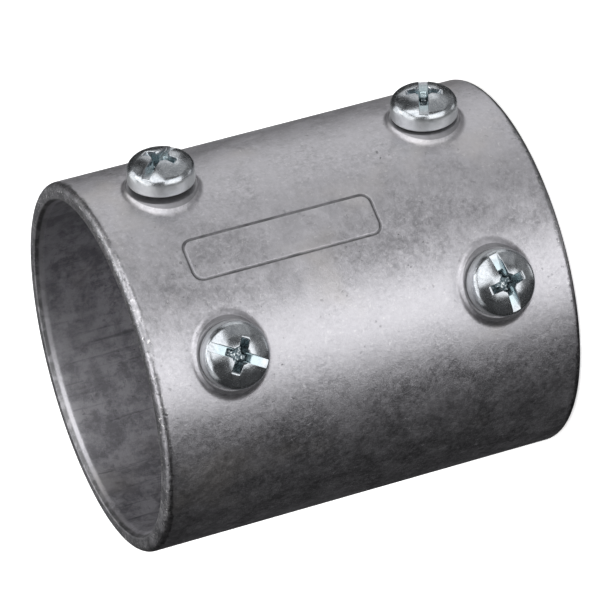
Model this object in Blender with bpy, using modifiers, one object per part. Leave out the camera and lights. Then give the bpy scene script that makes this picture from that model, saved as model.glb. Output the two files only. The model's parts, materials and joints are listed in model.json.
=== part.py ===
"""A two-inch set-screw conduit coupling: one cast sleeve and its four set screws.

The sleeve stands on one of its two open ends, with z = 0 at the lower end face. The two
lines of screws lie to either side of -Y. The origin is the middle of the whole part's
footprint, so the bore's axis lies a little towards +Y of it, by half of what the heads
stand out at the front.
"""

import math

import bmesh
import bpy

MM = 0.001

# Sleeve
BORE_DIAMETER = 60.8 * MM
WALL = 3.6 * MM
SLEEVE_LENGTH = 79.5 * MM
BORE_DRAFT = 0.1 * MM  # the bore's radius is this much less at the stop than at the mouth
RIM_ROUNDING = 1.4 * MM
LEAD_IN_DEPTH = 1.5 * MM
LEAD_IN_WIDTH = 0.55 * MM
LEAD_IN_ROUNDING = 0.35 * MM

# Ring inside the bore that stops the two conduit ends at mid-length
STOP_HEIGHT = 1.3 * MM
STOP_WIDTH = 1.8 * MM  # along its crest
STOP_FLANK = 0.8 * MM  # how far either flank leans out towards its root

# Screw lines
LINE_ANGLE = math.radians(30.0)  # from -Y to either line
SCREW_INSET = 14.65 * MM  # from each screw's axis to its end of the sleeve

# Raised boss round each screw hole
BOSS_MARGIN = 0.5 * MM  # left round the head, up to the edge of the boss's top
BOSS_HEIGHT = 0.75 * MM  # above the crown of the sleeve
BOSS_EDGE_ROUNDING = 0.35 * MM
BOSS_FLANK_ANGLE = math.radians(50.0)  # of the conical flank, from the top face down
BOSS_FILLET = 0.55 * MM  # from the flank's corner with the sleeve to either end of the fillet
BOSS_PROUD = 0.05 * MM  # the fillet ends this far above the sleeve, so that the two join cleanly

# Set screws, measured from under the head
HEAD_DIAMETER = 12.0 * MM
HEAD_WALL = 2.07 * MM  # straight side of the head
HEAD_RISE = 3.1 * MM  # from the straight side to the top of the dome
HEAD_SHOULDER = 2.0 * MM
HEAD_EDGE_ROUNDING = 0.3 * MM
SHANK_DIAMETER = 5.4 * MM
SHANK_LENGTH = 8.0 * MM
TIP_CHAMFER = 0.6 * MM
HOLE_CLEARANCE = 0.3 * MM  # round the shank

# Combined slot and cross recess in the head, with depths under the top of the dome
SLOT_WIDTH = 1.6 * MM
SLOT_DEPTH = 1.8 * MM
WING_SPAN = 6.9 * MM
WING_WIDTH = 2.1 * MM
WING_DEPTH = 3.3 * MM
WING_FLOOR_SPAN = 3.0 * MM
WING_FLOOR_WIDTH = 1.1 * MM
HEART_DIAMETER = 4.6 * MM
HEART_FLOOR_DIAMETER = 2.0 * MM

# How far each head stands off its boss, and how far its slot is turned from the sleeve's girth
SEATED_GAP = 0.4 * MM
BACKED_OFF_GAP = 1.0 * MM
BACKED_OFF = "set_screw_top_right"
SLOT_TURNS = {
    "set_screw_top_left": math.radians(59.6),
    "set_screw_top_right": math.radians(-50.0),
    "set_screw_bottom_left": math.radians(11.2),
    "set_screw_bottom_right": math.radians(-23.3),
}

# A rounding takes up this much of the wall it lies on at the most
MOST_ROUNDED = 0.8

# Facets
SLEEVE_STEPS = 96
BOSS_STEPS = 48
SCREW_STEPS = 40
HOLE_STEPS = 32
HEART_STEPS = 24
ARC_STEPS = 4
DOME_STEPS = 6
BOSS_EDGE_STEPS = 3
CORNER_PASSES = 20
HEAD_EDGE_STEPS = 2
FILLET_STEPS = 4
SHARP_ANGLE = math.radians(35.0)
MERGE_DISTANCE = 0.01 * MM

BORE_RADIUS = BORE_DIAMETER / 2
OUTER_RADIUS = BORE_RADIUS + WALL
MID_HEIGHT = SLEEVE_LENGTH / 2
BOSS_TOP = OUTER_RADIUS + BOSS_HEIGHT
BOSS_TOP_RADIUS = HEAD_DIAMETER / 2 + BOSS_MARGIN
HEAD_HEIGHT = HEAD_WALL + HEAD_RISE
# Cutters run past what they cut by one wall.
OVERRUN = WALL


def clear_scene():
    for obj in list(bpy.data.objects):
        bpy.data.objects.remove(obj, do_unlink=True)


def new_collection(name):
    collection = bpy.data.collections.new(name)
    bpy.context.scene.collection.children.link(collection)
    return collection


def metal(name, colour, roughness):
    material = bpy.data.materials.new(name)
    material.use_nodes = True
    shader = material.node_tree.nodes["Principled BSDF"]
    shader.inputs["Base Color"].default_value = (*colour, 1.0)
    shader.inputs["Roughness"].default_value = roughness
    shader.inputs["Metallic"].default_value = 1.0
    return material


def arc(centre, radius, start, end, steps=ARC_STEPS):
    """Points of an arc in the XZ plane, its angles in radians from +X towards +Z."""
    points = []
    for step in range(steps + 1):
        angle = start + (end - start) * step / steps
        points.append((centre[0] + radius * math.cos(angle), centre[1] + radius * math.sin(angle)))
    return points


def object_of(shape, name, collection):
    """A bmesh made an object of the collection."""
    mesh = bpy.data.meshes.new(name)
    shape.to_mesh(mesh)
    shape.free()
    obj = bpy.data.objects.new(name, mesh)
    collection.objects.link(obj)
    return obj


def turned(name, profile, steps, collection, closed):
    """A profile of (radius, height) points carried round Z by a Screw modifier."""
    mesh = bpy.data.meshes.new(name)
    edges = [(i, i + 1) for i in range(len(profile) - 1)]
    if closed:
        edges.append((len(profile) - 1, 0))
    mesh.from_pydata([(x, 0.0, z) for x, z in profile], edges, [])
    obj = bpy.data.objects.new(name, mesh)
    collection.objects.link(obj)
    spin = obj.modifiers.new("Turn", "SCREW")
    spin.axis = "Z"
    spin.angle = math.tau
    spin.steps = steps
    spin.render_steps = steps
    spin.use_merge_vertices = True
    spin.merge_threshold = MERGE_DISTANCE
    spin.use_smooth_shade = True
    return obj


def cone_between(name, bottom, bottom_radius, top, top_radius, segments, collection):
    """A closed cylinder or cone along local Z from one height to the other."""
    shape = bmesh.new()
    bmesh.ops.create_cone(
        shape,
        cap_ends=True,
        segments=segments,
        radius1=bottom_radius,
        radius2=top_radius,
        depth=top - bottom,
    )
    bmesh.ops.translate(shape, verts=shape.verts, vec=(0.0, 0.0, (top + bottom) / 2))
    return object_of(shape, name, collection)


def boolean(obj, other, operation):
    cut = obj.modifiers.new(operation.title(), "BOOLEAN")
    cut.operation = operation
    cut.solver = "EXACT"
    cut.object = other


def baked_mesh(obj, name):
    """The object's mesh with its modifiers applied, shaded smooth up to the sharp angle."""
    graph = bpy.context.evaluated_depsgraph_get()
    mesh = bpy.data.meshes.new_from_object(obj.evaluated_get(graph))
    mesh.name = name
    mesh.shade_smooth()
    mesh.set_sharp_from_angle(angle=SHARP_ANGLE)
    return mesh


def lower_mouth_profile():
    """The lower end of the wall, from the outer side round the rim to the bore."""
    end_face = WALL - LEAD_IN_WIDTH - LEAD_IN_ROUNDING
    rounding = min(RIM_ROUNDING, MOST_ROUNDED * end_face)
    rim = arc((OUTER_RADIUS - rounding, rounding), rounding, 0, -math.pi / 2)
    # The corner between the end face and the lead-in is rounded until it meets the cone.
    slope = math.atan2(LEAD_IN_WIDTH, LEAD_IN_DEPTH)
    corner_x = BORE_RADIUS + LEAD_IN_WIDTH + LEAD_IN_ROUNDING
    corner = arc(
        (corner_x, LEAD_IN_ROUNDING), LEAD_IN_ROUNDING, -math.pi / 2, slope - math.pi
    )
    return rim + corner + [(BORE_RADIUS, LEAD_IN_DEPTH)]


def sleeve_profile():
    lower = lower_mouth_profile()
    upper = [(x, SLEEVE_LENGTH - z) for x, z in reversed(lower)]
    root = BORE_RADIUS - BORE_DRAFT
    crest = root - STOP_HEIGHT
    half_crest = STOP_WIDTH / 2
    half_root = half_crest + STOP_FLANK
    stop = [
        (root, MID_HEIGHT - half_root),
        (crest, MID_HEIGHT - half_crest),
        (crest, MID_HEIGHT + half_crest),
        (root, MID_HEIGHT + half_root),
    ]
    return lower + stop + upper


def sleeve_crown(x):
    """The height over the bore's axis of the sleeve's outer surface, x away from a screw line."""
    return math.sqrt(OUTER_RADIUS**2 - x**2)


def flank_corner(start, across):
    """(distance, height) of the corner where the conical flank would meet the sleeve.

    The sleeve falls away towards its sides, so the corner's distance x satisfies
    x = start + drop(x) / slope, which each pass brings closer.
    """
    slope = math.tan(BOSS_FLANK_ANGLE)
    x = start[0]
    for _ in range(CORNER_PASSES):
        x = start[0] + (start[1] - sleeve_crown(x * across) - BOSS_PROUD) / slope
    return x, sleeve_crown(x * across) + BOSS_PROUD


def boss_section(direction):
    """(distance from the screw's axis, height) from the boss's top face down to its root.

    The flank is a cone. It ends in a quadratic curve that meets the round sleeve along its
    own slope, which differs with the direction round the boss. Below that, a skirt goes on
    down into the wall, to a flat root halfway to the bore.
    """
    fillet = min(BOSS_FILLET, MOST_ROUNDED * BOSS_HEIGHT)
    edge = arc(
        (BOSS_TOP_RADIUS - BOSS_EDGE_ROUNDING, BOSS_TOP - BOSS_EDGE_ROUNDING),
        BOSS_EDGE_ROUNDING,
        math.pi / 2,
        math.pi / 2 - BOSS_FLANK_ANGLE,
        BOSS_EDGE_STEPS,
    )
    across = abs(math.cos(direction))
    bend, bend_height = flank_corner(edge[-1], across)
    start_x = bend - fillet * math.cos(BOSS_FLANK_ANGLE)
    start_z = bend_height + fillet * math.sin(BOSS_FLANK_ANGLE)
    foot = bend + fillet
    foot_height = sleeve_crown(foot * across) + BOSS_PROUD
    section = list(edge)
    for step in range(FILLET_STEPS + 1):
        t = step / FILLET_STEPS
        x = (1 - t) ** 2 * start_x + 2 * t * (1 - t) * bend + t**2 * foot
        z = (1 - t) ** 2 * start_z + 2 * t * (1 - t) * bend_height + t**2 * foot_height
        section.append((x, z))
    root_height = (sleeve_crown(foot + fillet) - fillet + BORE_RADIUS) / 2
    section.append((foot + fillet, foot_height - fillet))
    section.append((foot + fillet, root_height))
    return section


def make_boss(name, collection):
    """A loft from the round top face to a foot that follows the curve of the sleeve."""
    shape = bmesh.new()
    rings = []
    for step in range(BOSS_STEPS):
        # Half a step round, so that no corner of the loft lies on an edge of the sleeve.
        direction = math.tau * (step + 0.5) / BOSS_STEPS
        ring = []
        for distance, height in boss_section(direction):
            x = distance * math.cos(direction)
            y = distance * math.sin(direction)
            ring.append(shape.verts.new((x, y, height)))
        rings.append(ring)
    for here, after in zip(rings, rings[1:] + rings[:1]):
        for row in range(len(here) - 1):
            shape.faces.new((here[row], here[row + 1], after[row + 1], after[row]))
    shape.faces.new([ring[0] for ring in rings])
    shape.faces.new([ring[-1] for ring in reversed(rings)])
    bmesh.ops.recalc_face_normals(shape, faces=shape.faces)
    return object_of(shape, name, collection)


def make_drill(name, collection):
    """The screw's clearance hole, from over the boss to inside the bore's stop."""
    radius = SHANK_DIAMETER / 2 + HOLE_CLEARANCE
    bottom = BORE_RADIUS - STOP_HEIGHT - OVERRUN
    return cone_between(
        name, bottom, radius, BOSS_TOP + OVERRUN, radius, HOLE_STEPS, collection
    )


def dome_and_shoulder():
    """(radius of the dome, radius of the shoulder), tangent to each other and to the wall.

    With a = the shoulder's centre to the screw's axis, h = the rise and r = the shoulder's
    radius, the dome's radius R follows from a^2 + (R - h)^2 = (R - r)^2.
    """
    shoulder = min(HEAD_SHOULDER, MOST_ROUNDED * HEAD_RISE)
    inset = HEAD_DIAMETER / 2 - shoulder
    dome = (inset**2 + HEAD_RISE**2 - shoulder**2) / (2 * (HEAD_RISE - shoulder))
    return dome, shoulder


def screw_profile():
    """From the top of the dome down the head and the shank to the middle of the tip."""
    dome_radius, shoulder_radius = dome_and_shoulder()
    head_radius = HEAD_DIAMETER / 2
    dome_centre = HEAD_HEIGHT - dome_radius
    shoulder_x = head_radius - shoulder_radius
    meeting = math.atan2(HEAD_WALL - dome_centre, shoulder_x)
    dome = arc((0.0, dome_centre), dome_radius, math.pi / 2, meeting, DOME_STEPS)
    shoulder = arc((shoulder_x, HEAD_WALL), shoulder_radius, meeting, 0)
    edge_x = head_radius - HEAD_EDGE_ROUNDING
    edge = arc(
        (edge_x, HEAD_EDGE_ROUNDING), HEAD_EDGE_ROUNDING, 0, -math.pi / 2, HEAD_EDGE_STEPS
    )
    shank = SHANK_DIAMETER / 2
    tip = [
        (shank, 0.0),
        (shank, TIP_CHAMFER - SHANK_LENGTH),
        (shank - TIP_CHAMFER, -SHANK_LENGTH),
        (0.0, -SHANK_LENGTH),
    ]
    return dome + shoulder[1:] + edge + tip


def tapered_block(name, top_size, floor_size, depth, collection):
    """A block whose floor lies a depth under the dome's top, and whose walls lean out above it."""
    shape = bmesh.new()
    bmesh.ops.create_cube(shape, size=1.0)
    for vert in shape.verts:
        if vert.co.z > 0:
            # The walls carry on past the dome at the same slope.
            rise = (depth + OVERRUN) / depth
            height = HEAD_HEIGHT + OVERRUN
        else:
            rise = 0.0
            height = HEAD_HEIGHT - depth
        x_size, y_size = [low + (high - low) * rise for low, high in zip(floor_size, top_size)]
        vert.co = (vert.co.x * x_size, vert.co.y * y_size, height)
    return object_of(shape, name, collection)


def screw_mesh(helpers):
    """One set screw: a domed pan head with a slot and a cross recess, on a plain shank."""
    blank = turned("screw_blank", screw_profile(), SCREW_STEPS, helpers, closed=False)
    slot_size = (HEAD_DIAMETER + 2 * OVERRUN, SLOT_WIDTH)
    wing_top = (WING_SPAN, WING_WIDTH)
    wing_floor = (WING_FLOOR_SPAN, WING_FLOOR_WIDTH)
    heart_floor = HEAD_HEIGHT - WING_DEPTH
    cutters = [
        tapered_block("slot_cutter", slot_size, slot_size, SLOT_DEPTH, helpers),
        tapered_block("wings_along_slot", wing_top, wing_floor, WING_DEPTH, helpers),
        tapered_block("wings_across_slot", wing_top[::-1], wing_floor[::-1], WING_DEPTH, helpers),
        # The tapered round middle opens out the corners between the wings.
        cone_between(
            "recess_heart",
            heart_floor,
            HEART_FLOOR_DIAMETER / 2,
            HEAD_HEIGHT,
            HEART_DIAMETER / 2,
            HEART_STEPS,
            helpers,
        ),
    ]
    for cutter in cutters:
        boolean(blank, cutter, "DIFFERENCE")
    bpy.context.view_layer.update()
    mesh = baked_mesh(blank, "set_screw")
    for helper in cutters + [blank]:
        bpy.data.objects.remove(helper, do_unlink=True)
    return mesh


def bore_axis_y():
    """How far the bore's axis lies behind the origin, so that the footprint is centred on it."""
    dome_radius, _ = dome_and_shoulder()
    dome_centre = BOSS_TOP + BACKED_OFF_GAP + HEAD_HEIGHT - dome_radius
    front_reach = dome_centre * math.cos(LINE_ANGLE) + dome_radius
    return (front_reach - OUTER_RADIUS) / 2


def screw_station(name, side, height, collection):
    """An empty on the bore's axis whose local Z points out through one screw's hole."""
    station = bpy.data.objects.new(name, None)
    station.empty_display_size = OUTER_RADIUS
    station.location = (0.0, bore_axis_y(), height)
    station.rotation_euler = (math.pi / 2, 0.0, side * LINE_ANGLE)
    collection.objects.link(station)
    return station


def build():
    clear_scene()
    parts = new_collection("conduit_coupling")
    helpers = new_collection("coupling_cutters")
    cast_metal = metal("cast_aluminium", (0.40, 0.40, 0.41), 0.42)
    zinc = metal("zinc_plated_steel", (0.70, 0.73, 0.73), 0.2)

    sleeve = turned("coupling_body", sleeve_profile(), SLEEVE_STEPS, parts, closed=True)
    sleeve.location = (0.0, bore_axis_y(), 0.0)
    sleeve.data.materials.append(cast_metal)
    screw = screw_mesh(helpers)
    screw.materials.clear()
    screw.materials.append(zinc)

    drills = []
    for end, height in (("top", SLEEVE_LENGTH - SCREW_INSET), ("bottom", SCREW_INSET)):
        for hand, side in (("left", -1), ("right", 1)):
            name = f"set_screw_{end}_{hand}"
            station = screw_station(f"station_{end}_{hand}", side, height, parts)
            boss = make_boss(f"boss_{end}_{hand}", helpers)
            drill = make_drill(f"drill_{end}_{hand}", helpers)
            for helper in (boss, drill):
                helper.parent = station
                helper.hide_render = True
                helper.display_type = "WIRE"
            boolean(sleeve, boss, "UNION")
            drills.append(drill)
            gap = BACKED_OFF_GAP if name == BACKED_OFF else SEATED_GAP
            obj = bpy.data.objects.new(name, screw)
            obj.parent = station
            obj.location = (0.0, 0.0, BOSS_TOP + gap)
            obj.rotation_euler = (0.0, 0.0, SLOT_TURNS[name])
            parts.objects.link(obj)
    # The holes come last, so that each goes through its boss and the wall together.
    for drill in drills:
        boolean(sleeve, drill, "DIFFERENCE")


build()
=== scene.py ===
# %% [markdown]
# # A cast conduit coupling and its four set screws
#
# The packed model gives the sizes and the places. This script gives the looks: fine
# meshes of the casting and its screws, two metals, soft panels of light and a camera.
# Every length is in metres.

# %% Load the frame
import json
import math

import bmesh
import bpy
import numpy as np
from mathutils import Matrix, Vector


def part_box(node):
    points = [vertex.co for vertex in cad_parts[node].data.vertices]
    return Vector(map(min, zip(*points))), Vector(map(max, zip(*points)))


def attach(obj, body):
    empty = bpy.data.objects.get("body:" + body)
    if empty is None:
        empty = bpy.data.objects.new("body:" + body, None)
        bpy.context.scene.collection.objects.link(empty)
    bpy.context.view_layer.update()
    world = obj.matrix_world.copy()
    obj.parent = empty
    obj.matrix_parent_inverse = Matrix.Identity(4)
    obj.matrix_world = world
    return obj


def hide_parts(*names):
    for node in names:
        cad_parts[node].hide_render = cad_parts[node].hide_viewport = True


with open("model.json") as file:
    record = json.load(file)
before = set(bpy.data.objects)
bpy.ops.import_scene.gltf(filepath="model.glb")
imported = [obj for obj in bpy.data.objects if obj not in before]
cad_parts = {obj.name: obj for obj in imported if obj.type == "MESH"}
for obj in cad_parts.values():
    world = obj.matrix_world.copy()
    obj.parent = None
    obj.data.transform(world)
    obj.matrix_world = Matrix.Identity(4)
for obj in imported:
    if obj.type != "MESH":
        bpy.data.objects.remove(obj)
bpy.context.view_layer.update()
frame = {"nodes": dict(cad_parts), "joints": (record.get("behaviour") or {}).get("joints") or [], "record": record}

# %% [markdown]
# ## Sizes from the frame
#
# The sleeve stands upright, so its box gives its outside radius, its length and the
# bore's axis. Each screw's joint tells which way the screw points. Sizes that no box
# shows are named here once more.

# %% Read the frame's sizes
MM = 0.001
body_low, body_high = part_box("coupling_body")
OUTER_RADIUS = (body_high.x - body_low.x) / 2
AXIS_Y = (body_high.y + body_low.y) / 2
LENGTH = body_high.z
MID_HEIGHT = LENGTH / 2

BORE_RADIUS = 30.4 * MM
BORE_DRAFT = 0.1 * MM
RIM_ROUNDING = 1.4 * MM
LEAD_IN_DEPTH = 1.5 * MM
LEAD_IN_WIDTH = 0.55 * MM
LEAD_IN_ROUNDING = 0.35 * MM
STOP_HEIGHT = 1.3 * MM
STOP_WIDTH = 1.8 * MM
STOP_FLANK = 0.8 * MM

BOSS_TOP = OUTER_RADIUS + 0.75 * MM
BOSS_TOP_RADIUS = 6.5 * MM
HOLE_RADIUS = 3.0 * MM

HEAD_RADIUS = 6.0 * MM
HEAD_WALL = 2.07 * MM
HEAD_RISE = 3.1 * MM
HEAD_HEIGHT = HEAD_WALL + HEAD_RISE
SHANK_LENGTH = 8.0 * MM
SLOT_TURNS = {
    "set_screw_top_left": math.radians(59.6),
    "set_screw_top_right": math.radians(-50.0),
    "set_screw_bottom_left": math.radians(11.2),
    "set_screw_bottom_right": math.radians(-23.3),
}


def mesh_points(obj):
    """Every vertex of a mesh object as rows of x, y, z."""
    flat = np.empty(len(obj.data.vertices) * 3)
    obj.data.vertices.foreach_get("co", flat)
    return flat.reshape(-1, 3)


def read_stations():
    """For each screw: its body, outward direction, height on the sleeve and stand-off.

    Outward is the joint's axis. The shank's tip is the point nearest to the bore's axis,
    and the underside of the head lies one shank's length farther out.
    """
    stations = {}
    for joint in frame["joints"]:
        name = frame["record"]["behaviour"]["bodies"][joint["child"]][0]
        outward = np.array(joint["axis"], float)
        outward /= np.linalg.norm(outward)
        low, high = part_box(name)
        reach = (mesh_points(frame["nodes"][name]) - (0.0, AXIS_Y, 0.0)) @ outward
        stations[name] = {
            "body": joint["child"],
            "outward": outward,
            "girth": np.array([-outward[1], outward[0], 0.0]),
            "height": (low.z + high.z) / 2,
            "seat": reach.min() + SHANK_LENGTH,
        }
    return stations


STATIONS = read_stations()
for name, station in STATIONS.items():
    gap = (station["seat"] - BOSS_TOP) / MM
    print(f"{name}: {station['height'] / MM:.2f} mm up, head {gap:.2f} mm off its boss")

# %% [markdown]
# ## The camera
#
# The picture was taken with a long lens, and the sleeve lay on its side in it. Here it
# stands, and the camera is rolled by a good quarter turn. The camera's place comes from
# matching the sleeve's outline and the near mouth's inner edge.

# %% Place the camera
PICTURE_SIZE = 600  # pixels, either way
FOCAL_LENGTH = 4665  # pixels
CENTRE_IN_PICTURE = (301.6, 313.1)  # pixel that shows the middle of the sleeve
CAMERA_DISTANCE = 0.841
CAMERA_AZIMUTH = math.radians(-23.97)
CAMERA_ELEVATION = math.radians(17.73)
CAMERA_ROLL = math.radians(-105.14)
SENSOR_WIDTH = 36.0

scene = bpy.context.scene
camera_data = bpy.data.cameras.new("camera")
camera = bpy.data.objects.new("camera", camera_data)
scene.collection.objects.link(camera)
scene.camera = camera
camera_data.sensor_width = SENSOR_WIDTH
camera_data.lens = SENSOR_WIDTH * FOCAL_LENGTH / PICTURE_SIZE
camera_data.clip_start = 0.01

turn = (
    Matrix.Rotation(CAMERA_AZIMUTH, 3, "Z")
    @ Matrix.Rotation(math.pi / 2 - CAMERA_ELEVATION, 3, "X")
    @ Matrix.Rotation(CAMERA_ROLL, 3, "Z")
)
to_the_side = (CENTRE_IN_PICTURE[0] - PICTURE_SIZE / 2) / FOCAL_LENGTH
downwards = (CENTRE_IN_PICTURE[1] - PICTURE_SIZE / 2) / FOCAL_LENGTH
middle = Vector((0.0, AXIS_Y, MID_HEIGHT))
camera_to_middle = turn @ (Vector((to_the_side, -downwards, -1.0)) * CAMERA_DISTANCE)
camera.matrix_world = Matrix.Translation(middle - camera_to_middle) @ turn.to_4x4()
print("camera at", [round(x, 4) for x in camera.matrix_world.translation])

# %% [markdown]
# ## From grids of points to one closed mesh
#
# Booleans would leave slivers that catch the light. Here each surface is a grid of points,
# worked out by a formula. The grids share their borders point for point, so welding them
# makes one closed mesh.

# %% Weld grids into a mesh
WELD_DISTANCE = 0.002 * MM


def grid_faces(rows, columns, wrap=False, keep=None):
    """The four corners of each cell of a grid of points that is numbered row by row."""
    across = columns if wrap else columns - 1
    row, column = np.meshgrid(np.arange(rows - 1), np.arange(across), indexing="ij")
    if keep is not None:
        row, column = row[keep], column[keep]
    row, column = row.ravel(), column.ravel()
    after = (column + 1) % columns
    corners = (row * columns + column, row * columns + after)
    corners += ((row + 1) * columns + after, (row + 1) * columns + column)
    return np.stack(corners, -1)


def sheet(points, wrap=False, keep=None):
    """A grid of points (rows, columns, 3) as a flat list of points and its faces."""
    rows, columns = points.shape[:2]
    return points.reshape(-1, 3), grid_faces(rows, columns, wrap, keep)


def welded(name, sheets, material, attributes=()):
    """One object of all sheets, with equal points merged and every face turned outwards.

    Each attribute is (name, one list of values for each sheet).
    """
    points = np.concatenate([p for p, _ in sheets])
    starts = np.cumsum([0] + [len(p) for p, _ in sheets[:-1]])
    faces = np.concatenate([f + start for (_, f), start in zip(sheets, starts)])
    mesh = bpy.data.meshes.new(name)
    mesh.from_pydata(points.tolist(), [], faces.tolist())
    for label, values in attributes:
        layer = mesh.attributes.new(label, "FLOAT", "POINT")
        layer.data.foreach_set("value", np.concatenate(values).astype(np.float32))
    work = bmesh.new()
    work.from_mesh(mesh)
    bmesh.ops.remove_doubles(work, verts=work.verts, dist=WELD_DISTANCE)
    bmesh.ops.recalc_face_normals(work, faces=work.faces)
    loose = sum(1 for edge in work.edges if len(edge.link_faces) != 2)
    triangles = sum(len(face.verts) - 2 for face in work.faces)
    work.to_mesh(mesh)
    work.free()
    mesh.shade_smooth()
    mesh.materials.append(material)
    obj = bpy.data.objects.new(name, mesh)
    scene.collection.objects.link(obj)
    print(f"{name}: {triangles} triangles, {loose} open edges")
    return obj


def arc(centre, radius, start, end, steps):
    """Points (radius, height) of an arc from one angle to another, in degrees."""
    angle = np.radians(np.linspace(start, end, steps + 1))
    return np.stack([radius * np.cos(angle), radius * np.sin(angle)], -1) + centre


def line(start, end, steps):
    """Evenly spaced points of a straight run between two (radius, height) points."""
    return np.linspace(start, end, steps + 1)


def joined(*runs):
    """Runs of points end to end. A run gives up its last point, where the next one starts."""
    return np.concatenate([run[:-1] for run in runs[:-1]] + [runs[-1]])


print(f"points closer than {WELD_DISTANCE / MM} mm become one")

# %% [markdown]
# ## The casting's section
#
# The section goes all the way round: down the outside, round the rim, up the bore to the
# stop, and the same mirrored. Its rows make room for a square block of cells round each
# screw hole and a long one round the framed panel. Patches fill these blocks.

# %% Lay out the section's rows
COLUMNS = 288
COLUMN_STEP = math.tau / COLUMNS
BLOCK = 12  # half the cells along a side of the block round a hole, 15 degrees
SCREW_LOW = min(station["height"] for station in STATIONS.values())
BLOCK_HALF = OUTER_RADIUS * math.sin(BLOCK * COLUMN_STEP)
BORE_BLOCK_HALF = BORE_RADIUS * math.sin(BLOCK * COLUMN_STEP)

MIDDLE_CELLS = 22
MARGIN_CELLS = 6
RIM_CELLS = 8
LEAD_EDGE_CELLS = 4
BORE_MARGIN_CELLS = 3
SHORT_CELLS = 2  # on each narrow straight run
CORNER = 0.12 * MM  # a soft corner takes up this much on either side

lead_slope = math.degrees(math.atan2(LEAD_IN_WIDTH, LEAD_IN_DEPTH))
corner_x = BORE_RADIUS + LEAD_IN_WIDTH + LEAD_IN_ROUNDING
stop_root = BORE_RADIUS - BORE_DRAFT
stop_crest = stop_root - STOP_HEIGHT
stop_foot_z = MID_HEIGHT - STOP_WIDTH / 2 - STOP_FLANK


def bore_radius_at(z):
    """The bore narrows evenly from its mouth to the stop: a straight line in z."""
    depth = np.minimum(z, LENGTH - z) - LEAD_IN_DEPTH
    return BORE_RADIUS - BORE_DRAFT * depth / (stop_foot_z - LEAD_IN_DEPTH)


block_top, block_foot = SCREW_LOW + BLOCK_HALF, SCREW_LOW - BLOCK_HALF
outside = joined(
    line((OUTER_RADIUS, MID_HEIGHT), (OUTER_RADIUS, block_top), MIDDLE_CELLS),
    line((OUTER_RADIUS, block_top), (OUTER_RADIUS, block_foot), 2 * BLOCK),
    line((OUTER_RADIUS, block_foot), (OUTER_RADIUS, RIM_ROUNDING), MARGIN_CELLS),
)
rim = joined(
    arc((OUTER_RADIUS - RIM_ROUNDING, RIM_ROUNDING), RIM_ROUNDING, 0, -90, RIM_CELLS),
    line((OUTER_RADIUS - RIM_ROUNDING, 0.0), (corner_x, 0.0), SHORT_CELLS),
    arc((corner_x, LEAD_IN_ROUNDING), LEAD_IN_ROUNDING, -90, lead_slope - 180, LEAD_EDGE_CELLS),
)
bore = joined(
    line((0, LEAD_IN_DEPTH + CORNER), (0, SCREW_LOW - BORE_BLOCK_HALF), BORE_MARGIN_CELLS),
    line((0, SCREW_LOW - BORE_BLOCK_HALF), (0, SCREW_LOW + BORE_BLOCK_HALF), 2 * BLOCK),
    line((0, SCREW_LOW + BORE_BLOCK_HALF), (0, stop_foot_z - CORNER), BORE_MARGIN_CELLS),
)
bore[:, 0] = bore_radius_at(bore[:, 1])


def towards(start, end, distance):
    """The point at a distance from the start of a straight run."""
    start, end = np.array(start), np.array(end)
    return start + (end - start) * distance / np.linalg.norm(end - start)


def between_corners(start, end):
    """A straight run that leaves room for a soft corner at both of its ends."""
    return line(towards(start, end, CORNER), towards(end, start, CORNER), SHORT_CELLS)


lead_in = between_corners(rim[-1], (BORE_RADIUS, LEAD_IN_DEPTH))
flank_top = np.array((stop_crest, MID_HEIGHT - STOP_WIDTH / 2))
flank = between_corners((stop_root, stop_foot_z), flank_top)
crest = line(flank_top + (0, CORNER), (stop_crest, MID_HEIGHT), SHORT_CELLS)
half_section = np.concatenate([outside[:-1], rim, lead_in, bore, flank, crest])
mirrored = half_section * (1, -1) + (0, LENGTH)
section = np.concatenate([half_section[:-1], mirrored[:0:-1]])
ROWS = len(section)
FIRST_BLOCK_ROW = MIDDLE_CELLS
FIRST_BORE_ROW = len(outside) - 1 + len(rim) + len(lead_in) + BORE_MARGIN_CELLS
print(f"section of {ROWS} rows, {COLUMNS} columns")

# %% [markdown]
# ## Points on the casting
#
# A point of the sleeve is an angle round the axis, a radius and a height. The angle
# starts at the front, midway between the two screw lines, so a screw line is a column.

# %% Turn rows and columns into points
def around(angle, radius, z):
    """The point at an angle from the front, a radius from the bore's axis and a height."""
    angle, radius, z = np.broadcast_arrays(angle, radius, z)
    return np.stack([radius * np.sin(angle), AXIS_Y - radius * np.cos(angle), z], -1)


def with_height(flat, height):
    """Points (x, y, height) of flat points (x, y) and their heights."""
    return np.concatenate([flat, (height + 0 * flat[..., 0])[..., None]], -1)


def at_station(station, flat, height):
    """Points by a screw: x along the girth, y up the sleeve, height from the bore's axis."""
    axes = np.stack([station["girth"], (0.0, 0.0, 1.0), station["outward"]])
    return with_height(flat, height) @ axes + (0.0, AXIS_Y, station["height"])


def block_border(first_row, rows, first_column, columns, from_last_row=False):
    """Row and column numbers of the points round a block of cells, once round."""
    step = np.arange(2 * (rows + columns))
    row = np.clip(step - columns, 0, rows) - np.clip(step - 2 * columns - rows, 0, rows)
    column = np.clip(step, 0, columns) - np.clip(step - columns - rows, 0, columns)
    if from_last_row:
        row = rows - row
    return row + first_row, column + first_column


def open_block(keep, first_row, rows, first_column, columns):
    """Marks the cells of a block as left out, on a grid that wraps both ways."""
    row = np.arange(first_row, first_row + rows) % ROWS
    column = np.arange(first_column, first_column + columns) % COLUMNS
    keep[np.ix_(row, column)] = False


def on_section(row, column):
    """The points of the sleeve's own grid at row and column numbers."""
    return around(column * COLUMN_STEP, section[row % ROWS, 0], section[row % ROWS, 1])


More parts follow.
